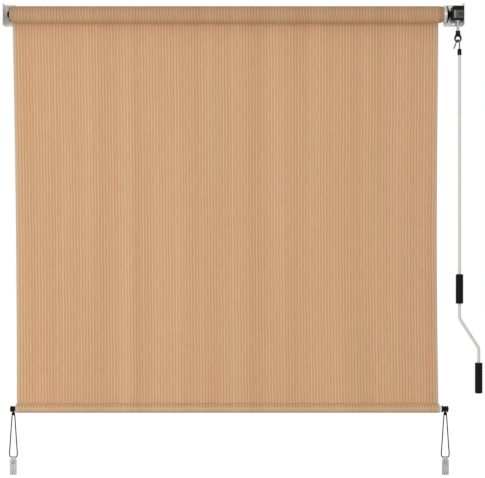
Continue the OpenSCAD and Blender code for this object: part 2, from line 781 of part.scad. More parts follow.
// End cap with its face on the bar's end at X = 0: a spigot, two flanges and a waist.
module hem_cap() {
    flange_r = cap_d / 2;
    waist_r = cap_waist_d / 2;
    spigot_r = hem_bar_d / 2 - hem_bar_wall - seat_gap;
    outer_x = cap_inner_l + cap_waist_l;
    dome_x = outer_x + cap_outer_l;
    dome_r = (pow(flange_r, 2) + pow(cap_dome, 2)) / (2 * cap_dome);
    color([0.08, 0.08, 0.08]) union() {
        turned_x(hem_y, hem_z, [[0, -cap_spigot_l], [spigot_r, -cap_spigot_l], [spigot_r, 0], [flange_r, 0],
            [flange_r, cap_inner_l - cap_dome], [waist_r, cap_inner_l], [waist_r, outer_x],
            [flange_r, outer_x + cap_dome / 2], [flange_r, dome_x], [0, dome_x]]);
        intersection() {
            translate([dome_x + cap_dome - dome_r, hem_y, hem_z]) sphere(dome_r);
            bar_x(hem_y, hem_z, dome_x - overrun, dome_x + cap_dome, flange_r);
        }
    }
}

module left_hem_cap() {
    translate([bar_x0, 0, 0]) mirror([1, 0, 0]) hem_cap();
}

module right_hem_cap() {
    translate([bar_x1, 0, 0]) hem_cap();
}

// Two turns of the elastic cord round a cap's waist.
module cord_wrap(x) {
    color([0.06, 0.06, 0.06]) for (side = [-1, 1])
        translate([x + side * (cord_d / 2 + seat_gap), hem_y, hem_z]) rotate([90, 0, 90]) rotate_extrude()
            translate([cap_waist_d / 2 + cord_d / 2 + seat_gap, 0]) circle(cord_d / 2);
}

module left_cord_wrap() {
    cord_wrap(bar_x0 - waist_mid);
}

module right_cord_wrap() {
    cord_wrap(bar_x1 + waist_mid);
}

// Elastic loop swept along the route, which lies in the hem's plane.
function loop_dir(i) = let (
    last = len(loop_route) - 1,
    step = loop_route[min(i + 1, last)] - loop_route[max(i - 1, 0)]) step / norm(step);
function loop_ring(i, x) = [for (j = [0 : cord_sides - 1]) let (
    a = j * 360 / cord_sides,
    side = loop_dir(i)) [x + loop_route[i].x - cord_d / 2 * cos(a) * side.y, loop_y + cord_d / 2 * sin(a),
    loop_z + loop_route[i].y + cord_d / 2 * cos(a) * side.x]];

module bungee(x) {
    rings = len(loop_route);
    points = [for (i = [0 : rings - 1]) each loop_ring(i, x)];
    sides = [for (i = [0 : rings - 2], j = [0 : cord_sides - 1]) let (
        a = i * cord_sides + j,
        b = i * cord_sides + (j + 1) % cord_sides) each [[a, a + cord_sides, b], [b, a + cord_sides,
        b + cord_sides]]];
    start = [for (j = [0 : cord_sides - 1]) j];
    end = [for (j = [cord_sides - 1 : -1 : 0]) (rings - 1) * cord_sides + j];
    color([0.06, 0.06, 0.06]) polyhedron(points, concat(sides, [start, end]));
}

module left_bungee() {
    bungee(left_loop_x);
}

module right_bungee() {
    bungee(right_loop_x);
}

// Sheet clip: a plate with two screw holes, folded back over the loop at its top.
module tie_clip(x) {
    front_y = loop_y - fold_r - clip_t;
    top_z = fold_z + fold_r + clip_t;
    body_h = clip_h - clip_tab_h + clip_shoulder;
    color([0.7, 0.7, 0.71]) translate([x, 0, 0]) difference() {
        union() {
            translate([0, front_y + clip_t, 0]) rotate([90, 0, 0]) linear_extrude(clip_t) {
                translate([-clip_w / 2, top_z - clip_h]) round_rect(clip_w, body_h, clip_round);
                translate([-tab_w / 2, top_z - clip_h / 2]) square([tab_w, fold_z - top_z + clip_h / 2]);
            }
            difference() {
                bar_x(loop_y, fold_z, -tab_w / 2, tab_w / 2, fold_r + clip_t);
                bar_x(loop_y, fold_z, -tab_w / 2 - overrun, tab_w / 2 + overrun, fold_r);
                block([-tab_w, front_y - overrun, fold_z - clip_h], [tab_w, loop_y + clip_h, fold_z]);
            }
            block([-tab_w / 2, loop_y + fold_r, fold_z - lip_l],
                [tab_w / 2, loop_y + fold_r + clip_t, fold_z]);
        }
        for (k = [0, 1])
            bar_y(0, top_z - clip_hole_drop - k * clip_hole_rise, front_y - overrun,
                front_y + clip_t + overrun, clip_hole_d / 2);
    }
}

module left_clip() {
    tie_clip(left_loop_x);
}

module right_clip() {
    tie_clip(right_loop_x);
}

// Wire hook: its bend hangs on the foot of the eye's ring, its tip is splayed behind.
module wand_hook() {
    tip_angle = 180 - hook_splay;
    color([0.72, 0.72, 0.74]) translate([worm_x, worm_y, hook_z]) rotate(-hook_turn) union() {
        rotate([90, 0, 0]) rotate_extrude(angle = tip_angle) translate([hook_r, 0])
            circle(hook_d / 2 + bend_swell);
        bar_z(hook_r, 0, rod_top_z - hook_z, lap, hook_d / 2);
        translate([hook_r * cos(tip_angle), 0, hook_r * sin(tip_angle)]) rotate([0, 180 + hook_splay, 0]) {
            translate([0, 0, -lap]) cylinder(h = hook_tip + lap, r = hook_d / 2);
            translate([0, 0, hook_tip]) sphere(hook_d / 2);
        }
    }
}

// Ferrule that joins the hook to the tube.
module wand_ferrule() {
    hook_bore = hook_d / 2 + seat_gap;
    rod_bore = rod_d / 2 + seat_gap;
    foot_z = ferrule_z - ferrule_l;
    r = ferrule_d / 2;
    color([0.08, 0.08, 0.08]) translate([rod_x, rod_y, 0]) rotate_extrude() polygon([[rod_bore, foot_z],
        [r, foot_z], [r, ferrule_z - hook_d / 2], [r - hook_d / 2, ferrule_z], [hook_bore, ferrule_z],
        [hook_bore, rod_top_z], [rod_bore, rod_top_z]]);
}

// Solid along the wand's path: straight, bend, crank, bend, straight.
module wand_path(r, over) {
    bend_z = -first_bend_drop + bend_cut;
    foot_bend_z = -first_bend_drop - crank_rise - bend_cut;
    bar_z(0, 0, bend_z - lap, rod_top_z + over, r);
    translate([rod_bend_r, 0, bend_z]) rotate([90, 0, 0]) rotate(180) rotate_extrude(angle = crank_angle)
        translate([rod_bend_r, 0]) circle(r + bend_swell);
    translate([rod_bend_r - rod_bend_r * cos(crank_angle), 0, bend_z - rod_bend_r * sin(crank_angle)])
        rotate([0, 180 - crank_angle, 0]) translate([0, 0, -lap])
            cylinder(h = crank_l - 2 * bend_cut + 2 * lap, r = r);
    translate([crank_throw - rod_bend_r, 0, foot_bend_z]) rotate([90, 0, 0])
        rotate_extrude(angle = crank_angle) translate([rod_bend_r, 0]) circle(r + bend_swell);
    bar_z(crank_throw, 0, rod_foot_z - over, foot_bend_z + lap, r);
}

module wand_rod() {
    color([0.8, 0.8, 0.79]) translate([rod_x, rod_y, 0]) difference() {
        wand_path(rod_d / 2, 0);
        wand_path(rod_d / 2 - rod_wall, overrun);
    }
}

// Stop collars on the tube, sunk in the grips' ends.
module grip_collar(x, z) {
    translate([x, rod_y, z]) difference() {
        cylinder(h = collar_l, r = collar_d / 2);
        translate([0, 0, -overrun]) cylinder(h = collar_l + 2 * overrun, r = rod_d / 2 + seat_gap);
    }
}

module grip_collars() {
    sink = collar_well - clear_gap;
    color([0.7, 0.7, 0.72]) {
        grip_collar(rod_x, -upper_grip_drop - sink);
        grip_collar(rod_x, -upper_grip_drop - upper_grip_l + sink - collar_l);
        grip_collar(rod_x + crank_throw, -lower_grip_drop - sink);
        grip_collar(rod_x + crank_throw, -lower_grip_drop - lower_grip_l + sink - collar_l);
    }
}

// Round-edged grip that turns on the tube, with wells for the collars at its ends.
module hand_grip(l) {
    r = grip_d / 2;
    bore_r = rod_d / 2 + run_gap;
    well_r = collar_d / 2 + clear_gap;
    color([0.1, 0.1, 0.1]) rotate_extrude() difference() {
        translate([-r, -l]) round_rect(2 * r, l, grip_round);
        translate([-r - overrun, -l - overrun]) square([r + overrun + bore_r, l + 2 * overrun]);
        translate([0, -collar_well]) square([well_r, collar_well + overrun]);
        translate([0, -l - overrun]) square([well_r, collar_well + overrun]);
    }
}

module upper_grip() {
    translate([rod_x, rod_y, -upper_grip_drop]) hand_grip(upper_grip_l);
}

module lower_grip() {
    translate([rod_x + crank_throw, rod_y, -lower_grip_drop]) hand_grip(lower_grip_l);
}

left_bracket();
right_bracket();
idler_bush();
axle_bush();
gear_housing();
housing_cover();
housing_screws();
worm_bush();
roller_tube();
fabric_roll();
idler_plug();
idler_pin();
drive_plug();
drive_axle();
axle_clip();
worm_wheel();
worm_shaft();
worm_thread();
crank_eye();
eye_pin();
fabric_panel();
hem_sleeve();
hem_bar();
left_hem_cap();
right_hem_cap();
left_cord_wrap();
right_cord_wrap();
left_bungee();
right_bungee();
left_clip();
right_clip();
wand_hook();
wand_ferrule();
wand_rod();
grip_collars();
upper_grip();
lower_grip();
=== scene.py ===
import math

import bmesh
import bpy
import numpy as np
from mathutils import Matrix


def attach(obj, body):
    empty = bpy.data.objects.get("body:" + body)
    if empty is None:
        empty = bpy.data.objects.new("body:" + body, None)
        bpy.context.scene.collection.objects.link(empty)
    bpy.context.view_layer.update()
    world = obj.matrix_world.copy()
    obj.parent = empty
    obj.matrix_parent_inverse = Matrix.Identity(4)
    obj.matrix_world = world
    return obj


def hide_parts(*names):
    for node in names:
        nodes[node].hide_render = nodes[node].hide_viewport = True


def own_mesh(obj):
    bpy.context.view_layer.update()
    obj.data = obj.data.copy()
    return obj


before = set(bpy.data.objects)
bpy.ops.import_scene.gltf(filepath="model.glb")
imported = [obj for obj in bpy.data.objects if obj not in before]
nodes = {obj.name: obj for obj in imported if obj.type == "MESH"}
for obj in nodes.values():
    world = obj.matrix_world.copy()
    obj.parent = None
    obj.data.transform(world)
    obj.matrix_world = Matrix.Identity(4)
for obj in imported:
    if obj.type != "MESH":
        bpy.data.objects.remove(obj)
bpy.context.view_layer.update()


# Camera. The shade is taken square on from 7.5 m, level with the middle of its
# drop, with a long lens and no shift.
PHOTO_WIDTH_PX = 485
FOCAL_PX = 1736.2
SENSOR_MM = 36.0
EYE = (0.0385, -7.5, -0.963)
SEES_TO = 100.0

camera_data = bpy.data.cameras.new("photo_camera")
camera_data.sensor_width = SENSOR_MM
camera_data.lens = FOCAL_PX / PHOTO_WIDTH_PX * SENSOR_MM
camera_data.clip_end = SEES_TO
camera = bpy.data.objects.new("photo_camera", camera_data)
camera.location = EYE
camera.rotation_euler = (math.pi / 2, 0.0, 0.0)
bpy.context.collection.objects.link(camera)
bpy.context.scene.camera = camera
bpy.context.scene.view_settings.view_transform = "Standard"


# Elastic loops. Each is a length of black braided shock cord, hitched round the waist of
# a hem cap, drawn together in a knot under it and hung under the fold of a steel clip.
class Wire:
    """A socket of a material's tree. Arithmetic on it adds Math nodes; node() adds any other."""

    def __init__(self, tree, socket=None):
        self.tree, self.socket = tree, socket

    def node(self, kind, settings=None, sockets=None, out=0):
        """A node of that kind with its settings, then its inputs by name or number; gives one output."""
        made = self.tree.nodes.new("ShaderNode" + kind)
        for key, value in (settings or {}).items():
            setattr(made, key, value)
        for key, value in (sockets or {}).items():
            if isinstance(value, Wire):
                self.tree.links.new(value.socket, made.inputs[key])
            else:
                made.inputs[key].default_value = value
        return Wire(self.tree, made.outputs[out])

    def math(self, operation, a, b=0.0):
        """A Math node on a and b, wires or numbers."""
        return self.node("Math", {"operation": operation}, {0: a, 1: b})

    def __add__(self, other):
        return self.math("ADD", self, other)

    def __radd__(self, other):
        return self.math("ADD", other, self)

    def __sub__(self, other):
        return self.math("SUBTRACT", self, other)

    def __rsub__(self, other):
        return self.math("SUBTRACT", other, self)

    def __mul__(self, other):
        return self.math("MULTIPLY", self, other)

    def __rmul__(self, other):
        return self.math("MULTIPLY", other, self)

    def __truediv__(self, other):
        return self.math("DIVIDE", self, other)

    def most(self, other):
        """The greater of two values."""
        return self.math("MAXIMUM", self, other)

    def wave(self):
        """Sine of the value brought to 0..1."""
        return self.math("SINE", self) * 0.5 + 0.5

    def clamp(self, low, high):
        """The value carried from low..high to 0..1 and held there."""
        return self.node("MapRange", {"clamp": True}, {0: self, 1: low, 2: high, 3: 0.0, 4: 1.0})

    def mix(self, a, b):
        """Colour a where the value is 0 and b where it is 1."""
        return self.node("Mix", {"data_type": "RGBA"}, {0: self, 6: a, 7: b}, out=2)

    def parts(self):
        """The X, Y and Z of a vector."""
        split = self.node("SeparateXYZ", None, {0: self}).socket.node
        return [Wire(self.tree, socket) for socket in split.outputs]


def paint(r, g, b):
    """Linear colour of 0..255 display values: ((c + 0.055) / 1.055) ** 2.4 above the toe."""
    c = np.array([r, g, b]) / 255.0
    linear = np.where(c <= 0.04045, c / 12.92, ((c + 0.055) / 1.055) ** 2.4)
    return (*linear.tolist(), 1.0)


def finish(name, metal=0.0, specular=0.5):
    """A new material, a wire to start its tree from and its shader."""
    made = bpy.data.materials.new(name)
    made.use_nodes = True
    shader = made.node_tree.nodes["Principled BSDF"]
    shader.inputs["Metallic"].default_value = metal
    shader.inputs["Specular IOR Level"].default_value = specular
    return made, Wire(made.node_tree), shader


def dress(wire, shader, colour, rough, height=None, depth=0.0):
    """Feeds colour and roughness, wires or plain values, and a height of that depth in metres to a shader."""
    for socket, value in (("Base Color", colour), ("Roughness", rough)):
        if isinstance(value, Wire):
            wire.tree.links.new(value.socket, shader.inputs[socket])
        else:
            shader.inputs[socket].default_value = value
    if height is not None:
        bumped = wire.node("Bump", None, {"Strength": 1.0, "Distance": depth, "Height": height})
        wire.tree.links.new(bumped.socket, shader.inputs["Normal"])


def place(wire, stretch=(1.0, 1.0, 1.0), shift=(0.0, 0.0, 0.0)):
    """Object coordinates in metres, stretched and then shifted."""
    here = wire.node("TexCoord", out=3)
    return wire.node("Mapping", None, {"Vector": here, "Location": shift, "Scale": stretch})


def noise(wire, scale=1.0, detail=2.0, stretch=(1.0, 1.0, 1.0)):
    """Noise on object coordinates, with about scale times stretch cells to the metre."""
    return wire.node("TexNoise", None, {"Vector": place(wire, stretch), "Scale": scale, "Detail": detail})


def grid_quads(rows, cols, close_rows=False, close_cols=False):
    """Corner numbers of the quads over rows of points; a closed way joins its last line to its first."""
    i = np.arange(rows if close_rows else rows - 1)
    j = np.arange(cols if close_cols else cols - 1)
    a, b = np.meshgrid(i, j, indexing="ij")
    a1, b1 = (a + 1) % rows, (b + 1) % cols
    return np.stack([a * cols + b, a * cols + b1, a1 * cols + b1, a1 * cols + b], -1).reshape(-1, 4)


def quad_piece(name, points, quads, uv=None):
    """A smooth mesh object of those points and quads, with a UV for each point where given."""
    mesh = bpy.data.meshes.new(name)
    mesh.from_pydata(points.tolist(), [], quads.tolist())
    mesh.polygons.foreach_set("use_smooth", np.ones(len(quads), bool))
    if uv is not None:
        layer = mesh.uv_layers.new(name="UVMap")
        layer.data.foreach_set("uv", uv[quads.ravel()].astype(np.float32).ravel())
    mesh.update()
    made = bpy.data.objects.new(name, mesh)
    bpy.context.collection.objects.link(made)
    return made


def grid_piece(name, points, uv, closed=False):
    """A mesh object over a (rows, cols, 3) array of points in metres, open or closed both ways."""
    quads = grid_quads(*points.shape[:2], closed, closed)
    return quad_piece(name, points.reshape(-1, 3), quads, uv.reshape(-1, 2))


WELD = 1e-6


def weld(made):
    """Joins points that lie on each other, so that seams close and a pole's quads become triangles."""
    work = bmesh.new()
    work.from_mesh(made.data)
    bmesh.ops.remove_doubles(work, verts=work.verts, dist=WELD)
    work.to_mesh(made.data)
    work.free()


def smooth_path(points, steps):
    """Points along a Catmull-Rom curve through the given ones, steps to a span."""
    p = np.vstack([2 * points[:1] - points[1:2], points, 2 * points[-1:] - points[-2:-1]])
    t = np.linspace(0, 1, steps, endpoint=False)[:, None, None]
    p0, p1, p2, p3 = p[:-3], p[1:-2], p[2:-1], p[3:]
    spans = 0.5 * (2 * p1 + (p2 - p0) * t + (2 * p0 - 5 * p1 + 4 * p2 - p3) * t ** 2
                   + (3 * p1 - p0 - 3 * p2 + p3) * t ** 3)
    return np.vstack([spans.transpose(1, 0, 2).reshape(-1, points.shape[1]), points[-1:]])


CORD_SIDES = 14


def tube_along(name, path, radius):
    """A round section carried along a path that nowhere runs along Y, with flat closed ends. Across the
    section run the path's direction crossed with Y, and the direction crossed with that. U goes round and V
    along in metres."""
    step = np.gradient(path, axis=0)
    step /= np.linalg.norm(step, axis=1, keepdims=True)
    side = np.cross(step, [0.0, 1.0, 0.0])
    side /= np.linalg.norm(side, axis=1, keepdims=True)
    a = np.linspace(0, 2 * np.pi, CORD_SIDES + 1)
    cos, sin = np.cos(a)[None, :, None], np.sin(a)[None, :, None]
    points = path[:, None] + radius * (side[:, None] * cos + np.cross(step, side)[:, None] * sin)
    run = np.concatenate([[0], np.cumsum(np.linalg.norm(np.diff(path, axis=0), axis=1))])
    uv = np.stack(np.broadcast_arrays(a[None] / (2 * np.pi), run[:, None]), -1)
    ends = [np.broadcast_to(path[k], (1, CORD_SIDES + 1, 3)) for k in (0, -1)]
    points = np.concatenate([ends[0], points, ends[1]])
    made = grid_piece(name, points, np.concatenate([uv[:1], uv, uv[-1:]]))
    weld(made)
    return made


BRAID_STRANDS = 8
BRAID_PITCH = 0.011
cord_braid, wire, shader = finish("cord_braid", specular=0.04)
around, along, _ = wire.node("UVMap", {"uv_map": "UVMap"}).parts()
turn = around * (math.pi * BRAID_STRANDS)
climb = along * (math.pi * BRAID_STRANDS / BRAID_PITCH)
strand = (turn + climb).wave().most((turn - climb).wave())
lint = noise(wire, scale=900.0)
dress(wire, shader, colour=(strand * 0.7 + lint * 0.3).mix(paint(4, 4, 4), paint(22, 22, 21)),
      rough=0.62 + lint * 0.2, height=strand, depth=0.0004)

CORD_D = 0.0048
LOOP_MM = [[-4, -13.6], [-6, -32], [-8, -60], [-10, -90], [-12, -120], [-14, -150], [-16, -178],
           [-17, -192], [-16.5, -198], [-14.5, -203.5], [-11, -207.3], [-7, -208.8], [-2, -209],
           [2, -209], [7, -208.8], [11, -207.3], [14.5, -203.5], [16.5, -198], [17, -192],
           [16, -178], [14, -150], [12, -120], [10, -90], [8, -60], [6, -32], [4, -13.6]]
LOOP_STEPS = 6
LOOP_X = {"left": -0.9485, "right": 0.912}
HEM_Y = -0.01936
HEM_Z = -1.6953
KNOT_DROP = 0.0205
KNOT_SIZE = (0.0036, 0.0026, 0.0074)
KNOT_CORD_R = 0.0021
KNOT_STEPS = 75
KNOT_LAP = 0.15


def knot_path(x):
    """An overhand knot's line, pulled tight: the trefoil sin t + 2 sin 2t across, sin 3t deep and
    2 cos 2t - cos t up, brought to half sizes of 1, under the hem cap at x. It ends a little past where it
    starts, inside itself."""
    t = np.linspace(0, 2 * np.pi + KNOT_LAP, KNOT_STEPS)
    across = (np.sin(t) + 2 * np.sin(2 * t)) / 2.6
    up = (2 * np.cos(2 * t) - np.cos(t)) / 3
    trefoil = np.stack([across, np.sin(3 * t), up], 1)
    return np.array([x, HEM_Y, HEM_Z - KNOT_DROP]) + trefoil * KNOT_SIZE


for side, x in LOOP_X.items():
    knot = tube_along(side + "_loop_knot", knot_path(x), KNOT_CORD_R)
    knot.data.materials.append(cord_braid)
    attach(knot, "hem")
    route = smooth_path(np.array(LOOP_MM) / 1000.0, LOOP_STEPS)
    path = np.stack([x + route[:, 0], np.full(len(route), HEM_Y), HEM_Z + route[:, 1]], 1)
    loop = tube_along(side + "_elastic_loop", path, CORD_D / 2)
    loop.data.materials.append(cord_braid)
    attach(loop, "hem")
    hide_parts(side + "_bungee")
    nodes[side + "_clip"]
    nodes[side + "_cord_wrap"]


# Angle brackets. Light grey coated sheet steel, bent to an L and screwed to the wall; the
# coating is a little mottled. On the left one it is matt and has painted light: its coat is
# painted paler than the right one's, most of all on the side leg, less on the wall leg.
def coat(material, *names):
    """The finish on the CAD nodes' own meshes."""
    for name in names:
        mesh = nodes[name].data
        mesh.materials.clear()
        mesh.materials.append(material)


def cells(wire, scale, feature="F1"):
    """Distance to the nearest of scattered points on object coordinates, about scale of them to the metre."""
    return wire.node("TexVoronoi", {"feature": feature}, {"Vector": place(wire), "Scale": scale})


WALL_LEG_Y = (-0.006, -0.003)
COAT_DARK = np.array([198, 196, 192])
COAT_LIGHT = np.array([226, 224, 220])


def bracket_coat(name, metal, side, wall):
    """A mottled grey coat, in tones times side on the side leg and times wall on the wall leg, by Y. Factors
    above 1 are painted light.
    """
    made, wire, shader = finish(name, metal=metal, specular=0.4)
    mottle = cells(wire, scale=160.0, feature="SMOOTH_F1")
    film = noise(wire, scale=45.0, detail=4.0)
    back = place(wire).parts()[1].clamp(*WALL_LEG_Y)
    tones = [back.mix(paint(*(side * tone)), paint(*(wall * tone))) for tone in (COAT_DARK, COAT_LIGHT)]
    dress(wire, shader, colour=(mottle * 0.5 + film * 0.6).clamp(0.2, 0.9).mix(*tones),
          rough=0.25 + film * 0.12, height=film, depth=0.0001)
    return made


# The left bracket's factors paint light into its coat: painted light, stronger on the side leg than on the
# wall leg.
coat(bracket_coat("left_bracket_painted_light_coat", metal=0.0, side=1.128, wall=1.05), "left_bracket")
coat(bracket_coat("right_bracket_coat", metal=0.35, side=1.0, wall=1.0), "right_bracket")


# Bushes. Natural white nylon, turned and pressed into the brackets and the gear housing;
# hardly any of them shows.
nylon, wire, shader = finish("natural_nylon", specular=0.4)
haze = noise(wire, scale=220.0, detail=3.0)
dress(wire, shader, colour=haze.mix(paint(214, 213, 206), paint(232, 231, 226)),
      rough=0.42 + haze * 0.1, height=haze, depth=0.00005)
coat(nylon, "idler_bush", "axle_bush", "worm_bush")


# Black mouldings: end plugs, gear housing, crank eye, hem caps and ferrule. Black
# glass-filled nylon with a fine spark-eroded grain and a soft sheen.
black_nylon, wire, shader = finish("black_nylon", specular=0.1)
grain = noise(wire, scale=1400.0)
rub = noise(wire, scale=60.0, detail=4.0)
dress(wire, shader, colour=(grain * 0.5 + rub * 0.5).mix(paint(6, 6, 6), paint(30, 30, 29)),
      rough=0.38 + rub * 0.2, height=grain, depth=0.00012)
coat(black_nylon, "gear_housing", "idler_plug", "drive_plug", "crank_eye", "left_hem_cap", "right_hem_cap",
     "wand_ferrule")


# Housing cover. A dark grey moulded plate let into the housing's front, with a painted highlight
# down the side next to the roller, and darker round the raised boss of its bearing.
COVER_HIGHLIGHT_X = (0.9425, 0.9515)
BOSS_X, BOSS_Z = 0.9712, -0.0026
BOSS_FADES = (0.008, 0.0125)


def off_axis(wire, x, z):
    """Distance in metres from the line through x and z that runs along Y."""
    from_line = place(wire, stretch=(1.0, 0.0, 1.0), shift=(-x, 0.0, -z))
    return wire.node("VectorMath", {"operation": "LENGTH"}, {0: from_line}, out=1)


cover_grey, wire, shader = finish("cover_grey", specular=0.25)
grain = noise(wire, scale=1100.0)
rub = noise(wire, scale=70.0, detail=3.0)
painted_highlight = 1 - place(wire).parts()[0].clamp(*COVER_HIGHLIGHT_X)
boss = 1 - off_axis(wire, BOSS_X, BOSS_Z).clamp(*BOSS_FADES)
plate = (grain * 0.4 + rub * 0.6).mix(paint(66, 66, 65), paint(96, 95, 93))
plate = boss.mix(plate, rub.mix(paint(40, 40, 39), paint(66, 65, 64)))
# The pale grey down the side next to the roller is a painted highlight.
dress(wire, shader, colour=painted_highlight.mix(plate, paint(168, 166, 163)),
      rough=0.4 + rub * 0.15, height=grain, depth=0.0001)
coat(cover_grey, "housing_cover")


# Turned and drawn steel: screws, pins, axle, clip ring, worm and collars. Bright
# steel with the fine lines that turning leaves.
bright_steel, wire, shader = finish("bright_steel", metal=1.0)
lines = noise(wire, detail=3.0, stretch=(40.0, 40.0, 900.0))
dress(wire, shader, colour=lines.mix(paint(126, 126, 128), paint(186, 186, 188)),
      rough=0.24 + lines * 0.16, height=lines, depth=0.00008)
coat(bright_steel, "housing_screws", "idler_pin", "drive_axle", "axle_clip", "worm_shaft", "worm_thread",
     "eye_pin", "grip_collars")


# Worm wheel. Machined brass, fixed on the drive axle and sealed in the housing, where it
# doesn't show.
wheel_brass, wire, shader = finish("wheel_brass", metal=1.0)
tint = noise(wire, scale=120.0, detail=3.0)
dress(wire, shader, colour=tint.mix(paint(176, 138, 66), paint(208, 172, 98)),
      rough=0.3 + tint * 0.15, height=tint, depth=0.00005)
coat(wheel_brass, "worm_wheel")


# Roller tube. Drawn aluminium in its mill finish, with draw lines along its length; it turns
# on the two plugs, and its right end shows bare beside the cloth.
mill_aluminium, wire, shader = finish("mill_aluminium", metal=1.0)
draw = noise(wire, detail=3.0, stretch=(4.0, 900.0, 900.0))
dress(wire, shader, colour=draw.mix(paint(172, 167, 162), paint(208, 203, 198)),
      rough=0.28 + draw * 0.14, height=draw, depth=0.00005)
coat(mill_aluminium, "roller_tube")


# The cloth. A knitted sun cloth of tan polythene yarn: chain-stitched ribs run down
# it, flat yarns are laid between them, and both sides are sealed to a pale strip.
FABRIC_X0 = -0.953
FABRIC_W = 1.834
FABRIC_T = 0.0012
RIB_PITCH = 0.013
RIBS = 141
RIB_FIRST = 0.0005
RIB_H = 0.0005
CREST = 0.675
CHAIN_PITCH = 0.0032
LAID_PITCH = 0.0021
SEALED_FADES = (0.006, 0.0145)
STITCH_Z = -1.669


def sun_knit(name, shade, depth, strip):
    """The cloth's finish on UV in metres, u across the cloth and v down it, in tones times shade, with ribs
    of that depth, 1 where the cloth hangs, and a sealed strip of that colour down each side. Tone is a cosine
    rib times a strength for each rib, plus broad bands, loose yarn, chain loops and laid yarns. Two
    attributes
    of the mesh carry painted shade: one darkens the valleys between ribs, the other greys the cloth."""
    def tan(r, g, b):
        return paint(*(np.array(shade) * (r, g, b)))

    def fleck(to_side, to_foot, detail):
        """Noise over the cloth with that many cells to the metre each way."""
        spread = wire.node("Mapping", None, {"Vector": uv, "Scale": (to_side, to_foot, 1.0)})
        return wire.node("TexNoise", {"noise_dimensions": "2D"},
                         {"Vector": spread, "Scale": 1.0, "Detail": detail})

    def marked(attribute):
        """A value that the mesh carries under that name, 0 where it carries none."""
        return wire.node("Attribute", {"attribute_name": attribute}, out=2)

    made, wire, shader = finish(name, specular=0.15)
    uv = wire.node("UVMap", {"uv_map": "UVMap"})
    across, down, _ = uv.parts()
    wander = fleck(30.0, 1.6, detail=2.0)
    rib_phase = (across - RIB_FIRST) / RIB_PITCH - CREST + (wander - 0.5) * 0.09
    rib = (rib_phase * (2 * math.pi) + math.pi / 2).wave()
    chain = (down * (2 * math.pi / CHAIN_PITCH) + rib_phase * math.pi).wave()
    laid = (down * (2 * math.pi / LAID_PITCH) + 0.7 * wander).wave()
    column = wire.node("TexNoise", {"noise_dimensions": "1D"},
                       {"W": across * (1 / RIB_PITCH), "Scale": 1.0, "Detail": 0.0})
    bands = fleck(11.0, 0.35, detail=1.0)
    yarn = fleck(260.0, 22.0, detail=3.0)
    tone = (0.13 + 0.3 * (1 - depth) + rib * (0.44 + column * 0.32) * depth + (bands - 0.5) * 0.45
            + (yarn - 0.5) * 0.5 + chain * rib * 0.1 + laid * 0.06)
    warm = (fleck(24.0, 0.9, detail=1.0) * 1.6 - 0.3).clamp(0.0, 1.0)
    dark = warm.mix(tan(186, 144, 104), tan(192, 142, 106))
    light = warm.mix(tan(222, 182, 142), tan(226, 180, 144))
    ground = tone.clamp(0.0, 1.0).mix(dark, light)
    # Painted shade in the valleys between ribs, where the mesh marks it.
    ground = (marked("crease_shade") * (1.1 - rib)).clamp(0.0, 1.0).mix(ground, tan(152, 116, 80))
    # Painted shade that greys the cloth, where the mesh marks it.
    ground = (marked("underside_shade") * 0.55).mix(ground, tan(168, 142, 120))
    off_middle = across - 0.5 * FABRIC_W
    from_edge = 0.5 * FABRIC_W - off_middle.math("ABSOLUTE", off_middle)
    sealed = 1 - from_edge.clamp(*SEALED_FADES)
    dress(wire, shader, colour=sealed.mix(ground, tan(*strip)), rough=0.82 - rib * 0.1,
          height=(rib * 0.35 + chain * rib * 0.35) * depth + laid * 0.2 + yarn * 0.2, depth=0.0006)
    return made


hung_knit = sun_knit("hung_knit", shade=(1.0, 1.01, 1.0), depth=1.0, strip=(199, 176, 154))
# The wound cloth is the hanging knit painted darker: painted shade on the roll.
wound_knit_painted_shade = sun_knit("wound_knit_painted_shade", shade=(0.912, 0.922, 0.92), depth=1.0, strip=(196, 158, 122))
hem_knit = sun_knit("hem_knit", shade=(1.0, 1.04, 1.06), depth=0.45, strip=(199, 176, 154))


def rib_places(steps):
    """Places across the cloth in metres, steps to a rib, with both sides."""
    return np.concatenate([[0.0], RIB_FIRST + np.arange(RIBS * steps) * RIB_PITCH / steps, [FABRIC_W]])


def rib_relief(u):
    """Height of the knit over its ground at a place across the cloth: a cosine crest on each rib."""
    return RIB_H * (0.5 + 0.5 * np.cos(2 * np.pi * ((u - RIB_FIRST) / RIB_PITCH - CREST)))


def soft_noise(x, seed, waves, low, high):
    """A sum of sines with seeded phases and wavelengths between low and high, about -1..1."""
    draw = np.random.default_rng(seed)
    out = np.zeros_like(x)
    for _ in range(waves):
        out = out + np.sin(2 * np.pi * (x / draw.uniform(low, high) + draw.uniform()))
    return out / math.sqrt(waves * 2)


def ramp(x, low, high):
    """0 at low and before it, 1 at high and beyond, straight between."""
    return np.clip((x - low) / (high - low), 0, 1)


# Hanging panel. One sheet from the back of the roll to the hem. Its sides draw in a
# little below the roll, slack between the ribs leaves soft upright swells, and its foot is
# sewn into the hem.
PANEL_Y = -0.01841
PANEL_ROWS = 40
PANEL_STEPS = 6
BORDER = 0.0035
SEAM_LAP = 0.006
FOOT_Z = STITCH_Z - SEAM_LAP
LEFT_DRAW = 0.0188
RIGHT_REACH, RIGHT_DRAW = 0.0014, 0.0064
RIGHT_LOW = 1.25
SWELL_H, BELLY = 0.0011, 0.0006
SWELL_SWAY = 0.02
FREE_CURVE = 0.7

